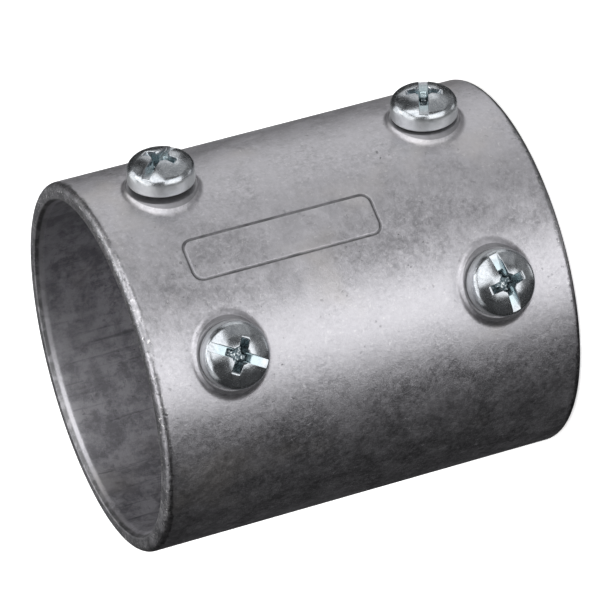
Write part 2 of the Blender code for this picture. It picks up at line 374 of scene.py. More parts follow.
def border_by(station, first_row, first_column, from_last_row=False):
    """The border of a screw's block, and the same points flat, as x and y by the screw."""
    numbers = block_border(first_row, 2 * BLOCK, first_column, 2 * BLOCK, from_last_row)
    border = on_section(*numbers)
    local = border - (0.0, AXIS_Y, station["height"])
    return border, np.stack([local @ station["girth"], local[:, 2]], -1)


def spread(start, end, first, steps):
    """Rings on the straight way from one ring to another, in equal steps, without the last."""
    return start + (end - start) * (np.arange(first, steps) / steps)[:, None, None]


front = around(0.0, OUTER_RADIUS, MID_HEIGHT)
print("middle of the front, mm:", (front / MM).round(2))

# %% [markdown]
# ## Bosses and screw holes
#
# A boss has a flat top, a rounded edge and a flank that runs out into the sleeve in a
# soft hollow. Its patch is made of rings round the screw's axis: over the top and the
# edge, down the flank, and outwards to the border of the open block.

# %% Shape a boss
BOSS_EDGE = 0.35 * MM
BOSS_FLANK = 50  # degrees of slope
BOSS_FILLET = 0.55 * MM
HOLE_CHAMFER = 0.2 * MM
FLAT_STEPS = 4
EDGE_STEPS = 5
FLANK_STEPS = 4
FILLET_STEPS = 8
SPREAD_STEPS = 6
SETTLING_ROUNDS = 20


def crown(x):
    """Height of the sleeve's outer surface over the bore's axis, x along a screw's girth."""
    return np.sqrt(OUTER_RADIUS**2 - x**2)


def boss_rings(direction):
    """Distance from the screw's axis and height of each ring, for directions round the boss.

    The flank is a cone, so it runs out farther where the round sleeve falls away. Where it
    would meet the sleeve, at B, a quadratic curve (1-t)^2 A + 2t(1-t) B + t^2 C takes over,
    from A on the cone to C on the sleeve. B is found by going down the cone to the sleeve's
    height at the last guess, again and again.
    """
    across = np.abs(np.cos(direction))
    edge_centre = (BOSS_TOP_RADIUS - BOSS_EDGE, BOSS_TOP - BOSS_EDGE)
    edge = arc(edge_centre, BOSS_EDGE, 90, 90 - BOSS_FLANK, EDGE_STEPS)
    top = np.array([(HOLE_RADIUS, BOSS_TOP - HOLE_CHAMFER), (HOLE_RADIUS + HOLE_CHAMFER, BOSS_TOP)])
    flat = line(top[-1], edge[0], FLAT_STEPS)[1:-1]
    fixed = np.concatenate([top, flat, edge])
    fixed = np.broadcast_to(fixed[:, None, :], (len(fixed), len(direction), 2))
    slope = math.tan(math.radians(BOSS_FLANK))
    bend = np.full(len(direction), BOSS_TOP_RADIUS)
    for _ in range(SETTLING_ROUNDS):
        bend = edge[-1, 0] + (edge[-1, 1] - crown(bend * across)) / slope
    leave = bend - BOSS_FILLET * math.cos(math.radians(BOSS_FLANK))

    def on_cone(distance):
        return np.stack([distance, edge[-1, 1] - (distance - edge[-1, 0]) * slope], -1)

    def on_outside(distance):
        return np.stack([distance, crown(distance * across)], -1)

    t = (np.arange(1, FLANK_STEPS + 1) / FLANK_STEPS)[:, None]
    cone = on_cone(edge[-1, 0] + (leave - edge[-1, 0]) * t)
    t = (np.arange(1, FILLET_STEPS + 1) / FILLET_STEPS)[:, None, None]
    fillet = (1 - t) ** 2 * on_cone(leave) + 2 * t * (1 - t) * on_outside(bend)
    fillet = fillet + t**2 * on_outside(bend + BOSS_FILLET)
    return np.concatenate([fixed, cone, fillet])


def boss_patch(station, first_row, first_column):
    """The boss, from the hole's edge to the border of its block, as one wrapped sheet."""
    border, flat_border = border_by(station, first_row, first_column)
    direction = np.arctan2(flat_border[:, 1], flat_border[:, 0])
    compass = np.stack([np.cos(direction), np.sin(direction)], -1)
    rings = boss_rings(direction)
    flat = rings[..., :1] * compass
    inner = at_station(station, flat, rings[..., 1])
    flat = spread(flat[-1], flat_border, 1, SPREAD_STEPS)
    outer = at_station(station, flat, crown(flat[..., 0]))
    return np.concatenate([inner, outer, border[None]]), HOLE_RADIUS * compass


def hole_patch(station, first_row, first_column, hole):
    """The hole's wall and the bore round it, as one wrapped sheet out to the bore's block.

    The rows climb the bore where they went down the outside, so this border is taken from
    its last row: its points then face those of the boss.
    """
    border, flat_border = border_by(station, first_row, first_column, True)
    flat = spread(hole, flat_border, 0, SPREAD_STEPS)
    floor = np.sqrt(bore_radius_at(station["height"] + flat[..., 1]) ** 2 - flat[..., 0] ** 2)
    mouth = at_station(station, hole, BOSS_TOP - HOLE_CHAMFER)
    return np.concatenate([mouth[None], at_station(station, flat, floor), border[None]])


ring_count = len(boss_rings(np.zeros(1)))
print(f"boss of {ring_count} rings, {(BOSS_TOP - OUTER_RADIUS) / MM:.2f} mm proud")

# %% [markdown]
# ## The framed panel
#
# Between the screw lines a fine groove runs round a long bare panel with rounded corners.
# It is a real groove in the mesh.

# %% Shape the groove
FRAME_HALF_HEIGHT = 4.0 * MM  # round the sleeve
FRAME_HALF_LENGTH = 17.6 * MM  # along it
FRAME_LIFT = 9.6 * MM  # its middle over the sleeve's
FRAME_CORNER = 1.8 * MM
GROOVE_DEPTH = 0.13 * MM
GROOVE_WIDTH = 0.2 * MM  # from its middle to where it has half its depth
GROOVE_SIDE = MM * np.array([0.1, 0.2, 0.3, 0.42, 0.6, 1.1])  # lines beside its middle
GROOVE_OFFSETS = np.concatenate([-GROOVE_SIDE[::-1], [0.0], GROOVE_SIDE])
FRAME_COLUMNS = 16
FRAME_ROWS = 54
FRAME_FIRST_ROW = -FRAME_ROWS // 2 - round(FRAME_LIFT / (outside[0, 1] - outside[1, 1]))
FRAME_SPREAD = 3


def rounded_frame(across, along):
    """A point of the frame's line and its outward normal, for each point of a square border.

    The border point, from -1 to 1 either way, is set on a sharp rectangle with its spacing
    drawn together towards the corners, clamped to the rectangle of corner centres, and
    moved out from there by one corner radius.
    """
    half = np.array([FRAME_HALF_HEIGHT, FRAME_HALF_LENGTH])
    sharp = half * np.sin(np.stack([across, along], -1) * math.pi / 2)
    limit = half - FRAME_CORNER
    centre = np.clip(sharp, -limit, limit)
    normal = sharp - centre
    normal /= np.linalg.norm(normal, axis=-1, keepdims=True)
    return centre + normal * FRAME_CORNER, normal


def coons(border, rows, columns):
    """Fills a grid from its border: the two straight blends of opposite sides, less the
    blend of the four corners. The border runs along row 0, up the last column, back along
    the last row and down column 0.
    """
    low = border[: columns + 1]
    right = border[columns : columns + rows + 1]
    high = border[columns + rows : 2 * columns + rows + 1][::-1]
    left = np.concatenate([border[2 * columns + rows :], border[:1]])[::-1]
    u = np.linspace(0, 1, columns + 1)[:, None]
    v = np.linspace(0, 1, rows + 1)[:, None, None]
    sides = (1 - v) * low + v * high + (1 - u) * left[:, None] + u * right[:, None]
    corners = (1 - v) * ((1 - u) * low[0] + u * low[-1]) + v * ((1 - u) * high[0] + u * high[-1])
    return sides - corners


def on_sleeve(flat, depth):
    """Puts flat points (round the sleeve, up from the frame's middle) on it, sunk by a depth."""
    height = MID_HEIGHT + FRAME_LIFT + flat[..., 1]
    return around(flat[..., 0] / OUTER_RADIUS, OUTER_RADIUS - depth, height)


def frame_patch():
    """The groove's rings with the run out to the block's border, and the panel inside."""
    row, column = block_border(FRAME_FIRST_ROW, FRAME_ROWS, -FRAME_COLUMNS // 2, FRAME_COLUMNS)
    over_middle = section[row % ROWS, 1] - MID_HEIGHT - FRAME_LIFT
    flat_border = np.stack([column * COLUMN_STEP * OUTER_RADIUS, over_middle], -1)
    reach = np.abs(flat_border).max(0)
    line_points, normal = rounded_frame(*(flat_border / reach).T)
    rings = line_points + GROOVE_OFFSETS[:, None, None] * normal
    depth = GROOVE_DEPTH * 0.5 ** ((GROOVE_OFFSETS / GROOVE_WIDTH) ** 2)
    depth[[0, -1]] = 0.0
    outer = spread(rings[-1], flat_border, 1, FRAME_SPREAD)
    groove = on_sleeve(rings, depth[:, None])
    panel = on_sleeve(coons(rings[0], FRAME_ROWS, FRAME_COLUMNS), 0.0)
    border = on_section(row, column)
    return np.concatenate([groove, on_sleeve(outer, 0.0), border[None]]), panel


print(f"frame of {2 * FRAME_HALF_LENGTH / MM:.1f} by {2 * FRAME_HALF_HEIGHT / MM:.1f} mm")

# %% [markdown]
# ## Shader arithmetic
#
# A finish is a sum of many small patterns. One small class stands for the output of a
# node, and adding two of them adds a Math node, so that the code reads like the sum.

# %% A socket that can be added and multiplied
class Wire:
    """The output of a shader node, with arithmetic that adds Math nodes."""

    def __init__(self, tree, socket=None):
        self.tree = tree
        self.socket = socket

    def node(self, kind, settings=None, inputs=None, output=0):
        """Makes a node: its settings first, then the values or links of its sockets."""
        made = self.tree.nodes.new(kind)
        for name, value in (settings or {}).items():
            setattr(made, name, value)
        for name, value in (inputs or {}).items():
            if isinstance(value, Wire):
                self.tree.links.new(value.socket, made.inputs[name])
            else:
                made.inputs[name].default_value = value
        return Wire(self.tree, made.outputs[output])

    def other(self, output):
        """Another output of the same node."""
        return Wire(self.tree, self.socket.node.outputs[output])

    def maths(self, operation, first, second=0.0, clamp=False):
        """A Math node."""
        settings = {"operation": operation, "use_clamp": clamp}
        return self.node("ShaderNodeMath", settings, {0: first, 1: second})

    def __add__(self, other):
        return self.maths("ADD", self, other)

    __radd__ = __add__

    def __sub__(self, other):
        return self.maths("SUBTRACT", self, other)

    def __rsub__(self, other):
        return self.maths("SUBTRACT", other, self)

    def __mul__(self, other):
        return self.maths("MULTIPLY", self, other)

    __rmul__ = __mul__

    def clamped(self):
        """The same value, held between 0 and 1."""
        return self.maths("ADD", self, 0.0, clamp=True)

    def between(self, low, high):
        """0 below low, 1 above high and a soft step between."""
        settings = {"interpolation_type": "SMOOTHSTEP"}
        inputs = {"Value": self, "From Min": low, "From Max": high}
        return self.node("ShaderNodeMapRange", settings, inputs)

    def noise(self, scale, detail=3.0, roughness=0.55, distortion=0.0):
        """Noise at these coordinates, 0 to 1 around 0.5, with its scale in blotches a metre."""
        shape = {"Detail": detail, "Roughness": roughness, "Distortion": distortion}
        inputs = {"Vector": self, "Scale": scale, **shape}
        return self.node("ShaderNodeTexNoise", inputs=inputs)

    def mix(self, first, second):
        """A colour that goes from the first to the second as this value goes from 0 to 1."""
        inputs = {0: self, 6: opaque(first), 7: opaque(second)}  # 6 and 7 take colours
        return self.node("ShaderNodeMix", {"data_type": "RGBA"}, inputs, output=2)


def opaque(colour):
    """A colour with its alpha, if it isn't a wire."""
    return colour if isinstance(colour, Wire) else (*colour, 1)


def new_metal(name):
    """A material, the wire that its nodes start from, and its shader node."""
    material = bpy.data.materials.new(name)
    material.use_nodes = True
    tree = material.node_tree
    return material, Wire(tree), tree.nodes["Principled BSDF"]


def feed(wire, shader, name):
    """Links a wire to one of the shader's sockets."""
    wire.tree.links.new(wire.socket, shader.inputs[name])


def feed_bump(height, shader, strength, distance):
    """Turns a height into a bump in the shader's normal."""
    inputs = {"Strength": strength, "Distance": distance, "Height": height}
    feed(height.node("ShaderNodeBump", inputs=inputs), shader, "Normal")


def layered(colour, layers):
    """A colour with others laid over it in turn, each by its own factor."""
    for factor, over in layers:
        colour = factor.mix(colour, over)
    return colour


print("a wire can:", ", ".join(name for name in vars(Wire) if not name.startswith("__")))

# %% [markdown]
# ## Cast aluminium
#
# The casting is satin and grey: wide clouds, blotches a few millimetres across, a crisp
# mottle, bright flecks, small dark pits and a faint warm stain. The bore is painted darker
# as shade, and darker still along the marks of the core that was drawn out of it. The rims
# are scuffed and darker in blotches, and so are their end faces. The lead-in's outer half
# and the framed panel's groove are painted darker as shade. The tops of the bosses are dull
# where the heads rub, and are painted darker as shade round the heads. The distances from
# the axis and from mid-length tell these places apart.

# %% Make the cast metal
# Looks that fade in from the first radius to the second.
OUTSIDE = (31.0 * MM, 31.6 * MM)
BOSS_TOPS = (BOSS_TOP - 0.1 * MM, BOSS_TOP + 0.02 * MM)
ABOVE_GROOVE = (OUTER_RADIUS - 0.06 * MM, OUTER_RADIUS - 0.01 * MM)

# Looks that fade in from the first distance to the second, counted from an end face.
RIM = (1.5 * MM, 1.0 * MM)
END_FACE = (0.4 * MM, 0.1 * MM)
LIP = (1.0 * MM, 0.6 * MM)
LEAD_IN = (1.9 * MM, 1.3 * MM)
ROUNDED_END = (2.5 * MM, 2.0 * MM)
RAGGEDNESS = 2.5 * MM

CAST_DARK, CAST_LIGHT = (0.395, 0.39, 0.415), (0.675, 0.665, 0.70)
WARM_STAIN = (0.64, 0.60, 0.56)
BARE_METAL = (0.85, 0.84, 0.84)
# Painted shade over the bore, darker still along the core's draw marks.
BORE_SHADE_AND_MARKS = (0.10, 0.10, 0.11)
# The boss tops' colour is painted shade round the screw heads.
RIM_DARKER = BOSS_TOP_SHADE = (0.17, 0.17, 0.18)
# Rims and end faces are made darker, in blotches.
END_FACE_DARKER = (0.15, 0.15, 0.16)
# Painted shade on the outer half of the lead-in.
LIP_SHADE = (0.16, 0.16, 0.165)
# The pits are dark; the groove's colour is painted shade in the crease.
PIT_SOIL = GROOVE_SHADE = (0.10, 0.10, 0.105)
RIM_PIT_SOIL = (0.14, 0.14, 0.145)


def by_the_end(from_middle, zone):
    """0 to 1 as the distance from mid-length goes through a zone near an end face."""
    return from_middle.between(MID_HEIGHT - zone[0], MID_HEIGHT - zone[1])


def cast_aluminium():
    """Grey satin metal whose tone, stains, painted shade and relief are sums of noises and zones."""
    material, start, shader = new_metal("cast_aluminium")
    place = start.node("ShaderNodeTexCoord", output="Object")
    lengthwise = {"Vector": place, "Scale": (1.0, 1.0, 0.07)}
    streak_place = start.node("ShaderNodeMapping", inputs=lengthwise)

    clouds = place.noise(85.0, 4.0, 0.6, 0.6)
    dents = place.noise(150.0, 2.0, 0.5, 0.2)
    patches = place.noise(260.0, 4.0, 0.6, 0.3)
    mottle = place.noise(1000.0, 5.0, 0.8, 0.5)
    grain = place.noise(1500.0, 3.0, 0.65)
    scuffs = place.noise(1300.0, 4.0, 0.7, 0.5)
    streaks = streak_place.noise(700.0, 3.0, 0.6)
    draw_marks = streak_place.noise(620.0, 4.0, 0.65, 0.4).between(0.57, 0.72)
    stain = place.noise(45.0, 3.0, 0.6).between(0.55, 0.75)
    blotch_mask = place.noise(420.0, 4.0, 0.65, 0.4).between(0.38, 0.58)
    nicks = place.noise(1500.0, 3.0, 0.6, 1.0).between(0.60, 0.66)
    flecks = place.noise(1900.0, 2.0, 0.5, 0.8).between(0.64, 0.71)
    pits = place.noise(900.0, 2.0, 0.5, 0.2).between(0.68, 0.75)
    pits = pits * (0.35 + 0.65 * clouds.between(0.5, 0.35))

    x = start.node("ShaderNodeSeparateXYZ", inputs={"Vector": place})
    y, z = x.other("Y") - AXIS_Y, x.other("Z")
    radius = start.maths("SQRT", x * x + y * y)
    from_middle = start.maths("ABSOLUTE", z - MID_HEIGHT)
    outside_wall = radius.between(*OUTSIDE)
    inside = 1 - outside_wall
    boss_top = radius.between(*BOSS_TOPS)
    rim = by_the_end(from_middle + RAGGEDNESS * (patches - 0.5), RIM) * outside_wall
    face = by_the_end(from_middle, END_FACE) * outside_wall
    lip = by_the_end(from_middle, LIP) * inside
    deep = (1 - by_the_end(from_middle, LEAD_IN)) * inside
    groove = (1 - radius.between(*ABOVE_GROOVE)) * outside_wall
    groove = groove * (1 - by_the_end(from_middle, ROUNDED_END))
    rim_pits = place.noise(1100.0, 2.0, 0.6, 0.6).between(0.57, 0.68) * rim

    tone = (
        0.5
        + 0.8 * (clouds - 0.5)
        + 0.8 * (patches - 0.5)
        + 0.6 * (grain - 0.5)
        + 2.8 * (mottle - 0.5) * (0.2 + 0.8 * clouds.between(0.66, 0.36))
        + deep * (0.8 * (streaks - 0.5) + 2.6 * (patches - 0.5) + 1.4 * (mottle - 0.5))
        + 2.6 * rim * (scuffs - 0.45)
    )
    layers = (
        (stain * 0.45, WARM_STAIN),
        # painted shade over the whole bore, darker still along the draw marks
        (deep * (0.39 + 0.3 * draw_marks), BORE_SHADE_AND_MARKS),
        # the rim and the end face are darker, in blotches
        (rim * (0.2 + 0.4 * blotch_mask), RIM_DARKER),
        (face * (0.5 + 0.3 * blotch_mask), END_FACE_DARKER),
        (rim * nicks * 0.8, BARE_METAL),
        # painted shade on the lead-in's outer half
        (lip * (0.5 + 0.4 * blotch_mask), LIP_SHADE),
        (flecks * outside_wall * 0.35, BARE_METAL),
        (pits * 0.6, PIT_SOIL),
        # painted shade in the framed panel's groove
        (groove * (0.3 + 0.9 * patches), GROOVE_SHADE),
        # painted shade on the boss tops round the heads
        (boss_top * 0.8, BOSS_TOP_SHADE),
        (rim_pits * 0.7, RIM_PIT_SOIL),
    )
    metal = tone.clamped().mix(CAST_DARK, CAST_LIGHT)
    feed(layered(metal, layers), shader, "Base Color")

    rough = 0.46 + 0.2 * (patches - 0.5) + 0.12 * (clouds - 0.5) + 0.3 * (mottle - 0.5)
    feed(rough + 0.08 * deep + 0.25 * pits - 0.1 * (rim - face), shader, "Roughness")
    feed(1 - 0.15 * boss_top, shader, "Metallic")

    height = 2.0 * dents + 0.8 * patches + 1.6 * mottle + 1.0 * grain - 1.2 * pits
    height = height + 0.9 * deep * streaks + 1.5 * rim * (scuffs - rim_pits)
    feed_bump(height, shader, strength=0.35, distance=0.06 * MM)
    return material


CAST = cast_aluminium()
print("cast metal has", len(CAST.node_tree.nodes), "nodes")

# %% [markdown]
# ## Zinc plate
#
# The screws are bright, with the faint blue of zinc, a soft ripple and hairlines. The blue
# shows most in the recess, whose deep floor is painted dark as shade, with a few painted
# glints. The head's wall is duller than its dome, and painted paler to stand in for light.
# Attributes of the mesh say where each of these is.

# %% Make the plated metal
ZINC_DARK, ZINC_LIGHT = (0.31, 0.33, 0.355), (0.54, 0.565, 0.59)
RECESS_BLUE = (0.40, 0.52, 0.55)
# Painted shade on the deep floor of the recess.
RECESS_FLOOR_SHADE = (0.035, 0.05, 0.06)
THREAD_GREY = (0.30, 0.31, 0.32)
# Painted light on the head's wall.
WALL_PAINTED_LIGHT = (0.66, 0.68, 0.69)
# Painted glints in the recess.
PAINTED_GLINT = (0.80, 0.84, 0.86)


def attribute(start, label):
    """A value that the mesh carries."""
    return start.node("ShaderNodeAttribute", {"attribute_name": label}, output="Fac")


def zinc_plate():
    """Bright bluish metal, with its own looks for the recess, the thread and the wall."""
    material, start, shader = new_metal("zinc_plated_steel")
    place = start.node("ShaderNodeTexCoord", output="Object")
    hairlines = {"Vector": place, "Rotation": (0.5, 0.3, 0.7), "Scale": (1.0, 0.05, 1.0)}
    scratch_place = start.node("ShaderNodeMapping", inputs=hairlines)
    ripple = place.noise(420.0, 2.0, 0.5)
    haze = place.noise(900.0, 4.0, 0.6, 0.4)
    speckle = place.noise(2600.0, 3.0, 0.6)
    scratches = scratch_place.noise(4000.0, 2.0, 0.6).between(0.62, 0.72)

    recess, thread, wall = (attribute(start, label) for label in ("recess", "thread", "wall"))
    floor = recess.between(0.62, 0.85)
    layers = (
        (recess.between(0.1, 0.4) * 0.6, RECESS_BLUE),
        # painted shade on the recess's deep floor
        (floor * (1.35 - speckle), RECESS_FLOOR_SHADE),
        (thread * 0.5, THREAD_GREY),
        # painted light: the head's wall is painted paler
        (wall * (0.4 + 0.8 * haze), WALL_PAINTED_LIGHT),
        # painted glints on the recess's deep floor
        (floor * speckle.between(0.56, 0.62) * 0.7, PAINTED_GLINT),
    )
    tone = 0.5 + 2.0 * (haze - 0.5) + 1.2 * (speckle - 0.5)
    metal = tone.clamped().mix(ZINC_DARK, ZINC_LIGHT)
    feed(layered(metal, layers), shader, "Base Color")

    rough = 0.16 + 0.12 * haze + 0.12 * floor + 0.12 * scratches + 0.1 * thread
    feed(rough + 0.12 * wall, shader, "Roughness")
    feed(0.96 - 0.1 * wall, shader, "Metallic")

    height = 0.8 * ripple + 0.25 * haze - 0.12 * scratches + 2.5 * floor * speckle
    feed_bump(height, shader, strength=0.3, distance=0.05 * MM)
    return material


ZINC = zinc_plate()
print("zinc has", len(ZINC.node_tree.nodes), "nodes")

# %% [markdown]
# ## The casting in one piece
#
# The sleeve's grid has its blocks for the bosses, the holes and the framed panel left
# open. The patches that fill them share their border points, so the weld leaves no gap.

# %% Build the casting
def build_casting():
    """The ring-shaped grid with its blocks left open, and the patches that fill them."""
    closed = np.concatenate([section, section[:1]])
    angle = np.arange(COLUMNS) * COLUMN_STEP
    ring = around(angle[None], closed[:, 0, None], closed[:, 1, None])
    keep = np.ones((ROWS, COLUMNS), bool)
    sheets = []
    last = 2 * (len(half_section) - 1)
    for station in STATIONS.values():
        towards_screw = math.atan2(station["outward"][0], -station["outward"][1])
        column = round(towards_screw / COLUMN_STEP) - BLOCK
        low_end = station["height"] < MID_HEIGHT
        outer_row = FIRST_BLOCK_ROW if low_end else last - FIRST_BLOCK_ROW - 2 * BLOCK
        bore_row = FIRST_BORE_ROW if low_end else last - FIRST_BORE_ROW - 2 * BLOCK
        open_block(keep, outer_row, 2 * BLOCK, column, 2 * BLOCK)
        open_block(keep, bore_row, 2 * BLOCK, column, 2 * BLOCK)
        boss, hole = boss_patch(station, outer_row, column)
        wall = hole_patch(station, bore_row, column, hole)
        sheets += [sheet(boss, wrap=True), sheet(wall, wrap=True)]
    open_block(keep, FRAME_FIRST_ROW, FRAME_ROWS, -FRAME_COLUMNS // 2, FRAME_COLUMNS)
    groove, panel = frame_patch()
    sheets += [sheet(groove, wrap=True), sheet(panel)]
    sheets.append(sheet(ring, wrap=True, keep=keep))
    return welded("casting", sheets, CAST)


casting = build_casting()
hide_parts("coupling_body")
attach(casting, "sleeve")

# %% [markdown]
# ## A set screw's head
#
# The head is a low dome with a rounded shoulder, and its drive is a slot and a cross
# recess in one. To keep the slot's edges clean, the middle of the head is a square grid
# with lines along the slot's walls. Round it, rings open to the head's rim, and their
# points keep to the slot's edges. The height is the lower of the dome and the cuts.

# %% Shape the head
SHOULDER = 2.0 * MM
SHOULDER_STEPS = 9
SLOT_HALF = 0.8 * MM
SLOT_DEPTH = 1.8 * MM
WING_DEPTH = 3.3 * MM
WING_HALF_SPAN = (1.5 * MM, 3.45 * MM)  # at the recess's floor and at the dome's top
WING_HALF_WIDTH = (0.5 * MM, 0.85 * MM)
HEART_RADIUS = (1.0 * MM, 1.65 * MM)
WALL_STEEPNESS = 30.0
EDGE_SOFTNESS = 0.07 * MM

CORE_HALF = 3.25 * MM
CORE_CIRCLE = 4.9 * MM
CORE_STEP = 0.115 * MM
CORE_CLEARANCE = 0.045 * MM  # the even lines keep this far from those at the slot's wall
SLOT_LINES = SLOT_HALF + MM * np.array([-0.03, 0.0, 0.03, 0.06, 0.1])
STRAIGHT = 1.1 * MM  # the rings' points stay on lines along the slot up to this far off it
HAIR = 1e-9  # a corner of the core counts as sideways in spite of rounding

shoulder_inset = HEAD_RADIUS - SHOULDER
DOME_RADIUS = (shoulder_inset**2 + HEAD_RISE**2 - SHOULDER**2) / (2 * (HEAD_RISE - SHOULDER))
DOME_CENTRE = HEAD_HEIGHT - DOME_RADIUS
MEETING = math.atan2(HEAD_WALL - DOME_CENTRE, shoulder_inset)


def softened_minimum(first, second):
    """The smaller of two heights, with the corner where they meet rounded off.

    min(a, b) = (a + b - |a - b|) / 2, with |d| replaced by sqrt(d^2 + softness^2).
    """
    gap = first - second
    return (first + second - np.sqrt(gap**2 + EDGE_SOFTNESS**2) + EDGE_SOFTNESS) / 2


def ramp_up(distance, floor_reach, top_reach, depth):
    """Height over a cut's floor: none up to the floor's reach, then an even slope."""
    return np.maximum(distance - floor_reach, 0.0) * depth / (top_reach - floor_reach)


def cut_height(flat):
    """The lowest of the slot, the two pairs of wings and the round heart of the recess."""
    along, across = np.abs(flat[..., 0]), np.abs(flat[..., 1])
    slot = HEAD_HEIGHT - SLOT_DEPTH + np.maximum(across - SLOT_HALF, 0.0) * WALL_STEEPNESS
    floor = HEAD_HEIGHT - WING_DEPTH
    wings = []
    for long_way, short_way in ((along, across), (across, along)):
        ends = ramp_up(long_way, *WING_HALF_SPAN, WING_DEPTH)
        sides = ramp_up(short_way, *WING_HALF_WIDTH, WING_DEPTH)
        wings.append(floor + np.maximum(ends, sides))
    heart = floor + ramp_up(np.hypot(along, across), *HEART_RADIUS, WING_DEPTH)
    return np.minimum(np.minimum(slot, heart), np.minimum(*wings))


def dome_height(flat):
    """The dome's arc of a circle, out to where the shoulder takes over."""
    return DOME_CENTRE + np.sqrt(DOME_RADIUS**2 - (flat**2).sum(-1))


def cut_out(flat, blank):
    """Points at the blank's height or, where it is lower, the cut's, and how far they sank."""
    height = softened_minimum(blank, cut_height(flat))
    return with_height(flat, height), blank - height


def core_lines():
    """Grid lines from 0 outwards, closer together at the slot's wall, and the same mirrored."""
    even = np.arange(0.0, CORE_HALF - CORE_CLEARANCE, CORE_STEP)
    clear = np.min(np.abs(even[:, None] - SLOT_LINES[None]), axis=1) > CORE_CLEARANCE
    half = np.sort(np.concatenate([even[clear], SLOT_LINES, [CORE_HALF]]))
    return np.concatenate([-half[:0:-1], half])


def spread_along(side, radius):
    """Where a line that meets the core's side goes on a circle.

    It goes straight on near the slot and is fanned out evenly beyond, so that the corner
    ends at 45 degrees.
    """
    beyond = np.maximum(np.abs(side) - STRAIGHT, 0.0)
    fanned = STRAIGHT + beyond * (radius * math.sqrt(0.5) - STRAIGHT) / (CORE_HALF - STRAIGHT)
    return np.sign(side) * np.where(beyond > 0, fanned, np.abs(side))


def ring_points(border, radius):
    """The border's points carried outwards onto a circle of a radius."""
    sideways = np.abs(border[:, 0]) > np.abs(border[:, 1]) - HAIR
    part = spread_along(np.where(sideways, border[:, 1], border[:, 0]), radius)
    rest = np.sqrt(radius**2 - part**2)
    x = np.where(sideways, np.sign(border[:, 0]) * rest, part)
    y = np.where(sideways, part, np.sign(border[:, 1]) * rest)
    return np.stack([x, y], -1)


print(f"dome of radius {DOME_RADIUS / MM:.2f} mm, core of {len(core_lines())} lines")

# %% [markdown]
# ## The thread
#
# The shank carries a coarse metric thread. Its radius swings between root and crest with
# the height, and the swing is carried round by the angle, one pitch a turn. It fades out
# under the head and at the tip.

# %% Shape the thread
PITCH = 1.0 * MM
THREAD_ROOT = 2.38 * MM
THREAD_CREST = 2.88 * MM
THREAD_FADE = 0.6 * PITCH
WAVE_PEAK, WAVE_SLOPE = 1.25, 3.125  # a peak over 1 makes the flat of the crest
NECK = 0.9 * MM
TIP_CHAMFER = 0.6 * MM
ROWS_PER_PITCH = 9


def thread_radius(height, angle):
    """Root plus a share of the thread's depth, which is a flattened triangle wave.

    Its phase is the height in pitches less the turn, which makes the thread right-handed.
    """
    phase = (height / PITCH - angle / math.tau) % 1.0
    wave = np.clip(WAVE_PEAK - WAVE_SLOPE * np.abs(phase - 0.5), 0.0, 1.0)
    under_head = np.clip((-height - NECK) / THREAD_FADE, 0.0, 1.0)
    radius = THREAD_ROOT + (THREAD_CREST - THREAD_ROOT) * wave * under_head
    at_tip = THREAD_CREST - TIP_CHAMFER + (SHANK_LENGTH + height)
    return np.minimum(radius, at_tip)


print(f"thread of {(SHANK_LENGTH - NECK) / PITCH:.1f} turns")

# %% [markdown]
# ## Four screws from one set of sheets
#
# The sheets are worked out once, then turned and set down for each screw. Attributes
# tell the material where the recess, the thread and the wall of the head are.

# %% Build the screws
CORE_RINGS = 6
HEAD_EDGE = 0.3 * MM
HEAD_EDGE_STEPS = 4
NECK_FILLET = 0.3 * MM
SIDE_STEPS = 3
TIP_SHARES = (1.0, 0.6, 0.25, 0.0)  # radii of the tip's rings


def head_top(border):
    """Rings from the core's border over the dome and the shoulder, and how far they sank."""
    shares = np.linspace(0, 1, CORE_RINGS + 1)[:, None, None]
    dome = border + (ring_points(border, CORE_CIRCLE) - border) * shares
    start = math.degrees(MEETING)
    shoulder = arc((shoulder_inset, HEAD_WALL), SHOULDER, start, 0, SHOULDER_STEPS)
    flat = np.concatenate([dome, [ring_points(border, radius) for radius in shoulder[:, 0]]])
    blank = np.concatenate([dome_height(dome), shoulder[:, 1:] + np.zeros(len(border))])
    return cut_out(flat, blank)


def head_side(rim):
    """Rings down the head's wall, round its lower edge, along its underside and to the neck."""
    neck = THREAD_ROOT + NECK_FILLET
    edge = arc((HEAD_RADIUS - HEAD_EDGE, HEAD_EDGE), HEAD_EDGE, 0, -90, HEAD_EDGE_STEPS)
    wall = line((HEAD_RADIUS, HEAD_WALL), edge[0], SIDE_STEPS)
    under = line(edge[-1], (neck, 0.0), SIDE_STEPS)
    fillet = arc((neck, -NECK_FILLET), NECK_FILLET, 90, 180, SIDE_STEPS)
    runs = joined(wall, edge, under, fillet)
    return with_height(rim * runs[:, :1, None] / HEAD_RADIUS, runs[:, 1:])


def shank_and_tip(angle):
    """The rings of the threaded shank, and those that close its tip."""
    rows = int((SHANK_LENGTH - NECK_FILLET) / PITCH * ROWS_PER_PITCH)
    height = np.linspace(-NECK_FILLET, -SHANK_LENGTH, rows)[:, None]
    radius = thread_radius(height, angle)
    shank = np.stack([radius * np.cos(angle), radius * np.sin(angle), height + 0 * radius], -1)
    return shank, np.stack([shank[-1] * (share, share, 1) for share in TIP_SHARES])


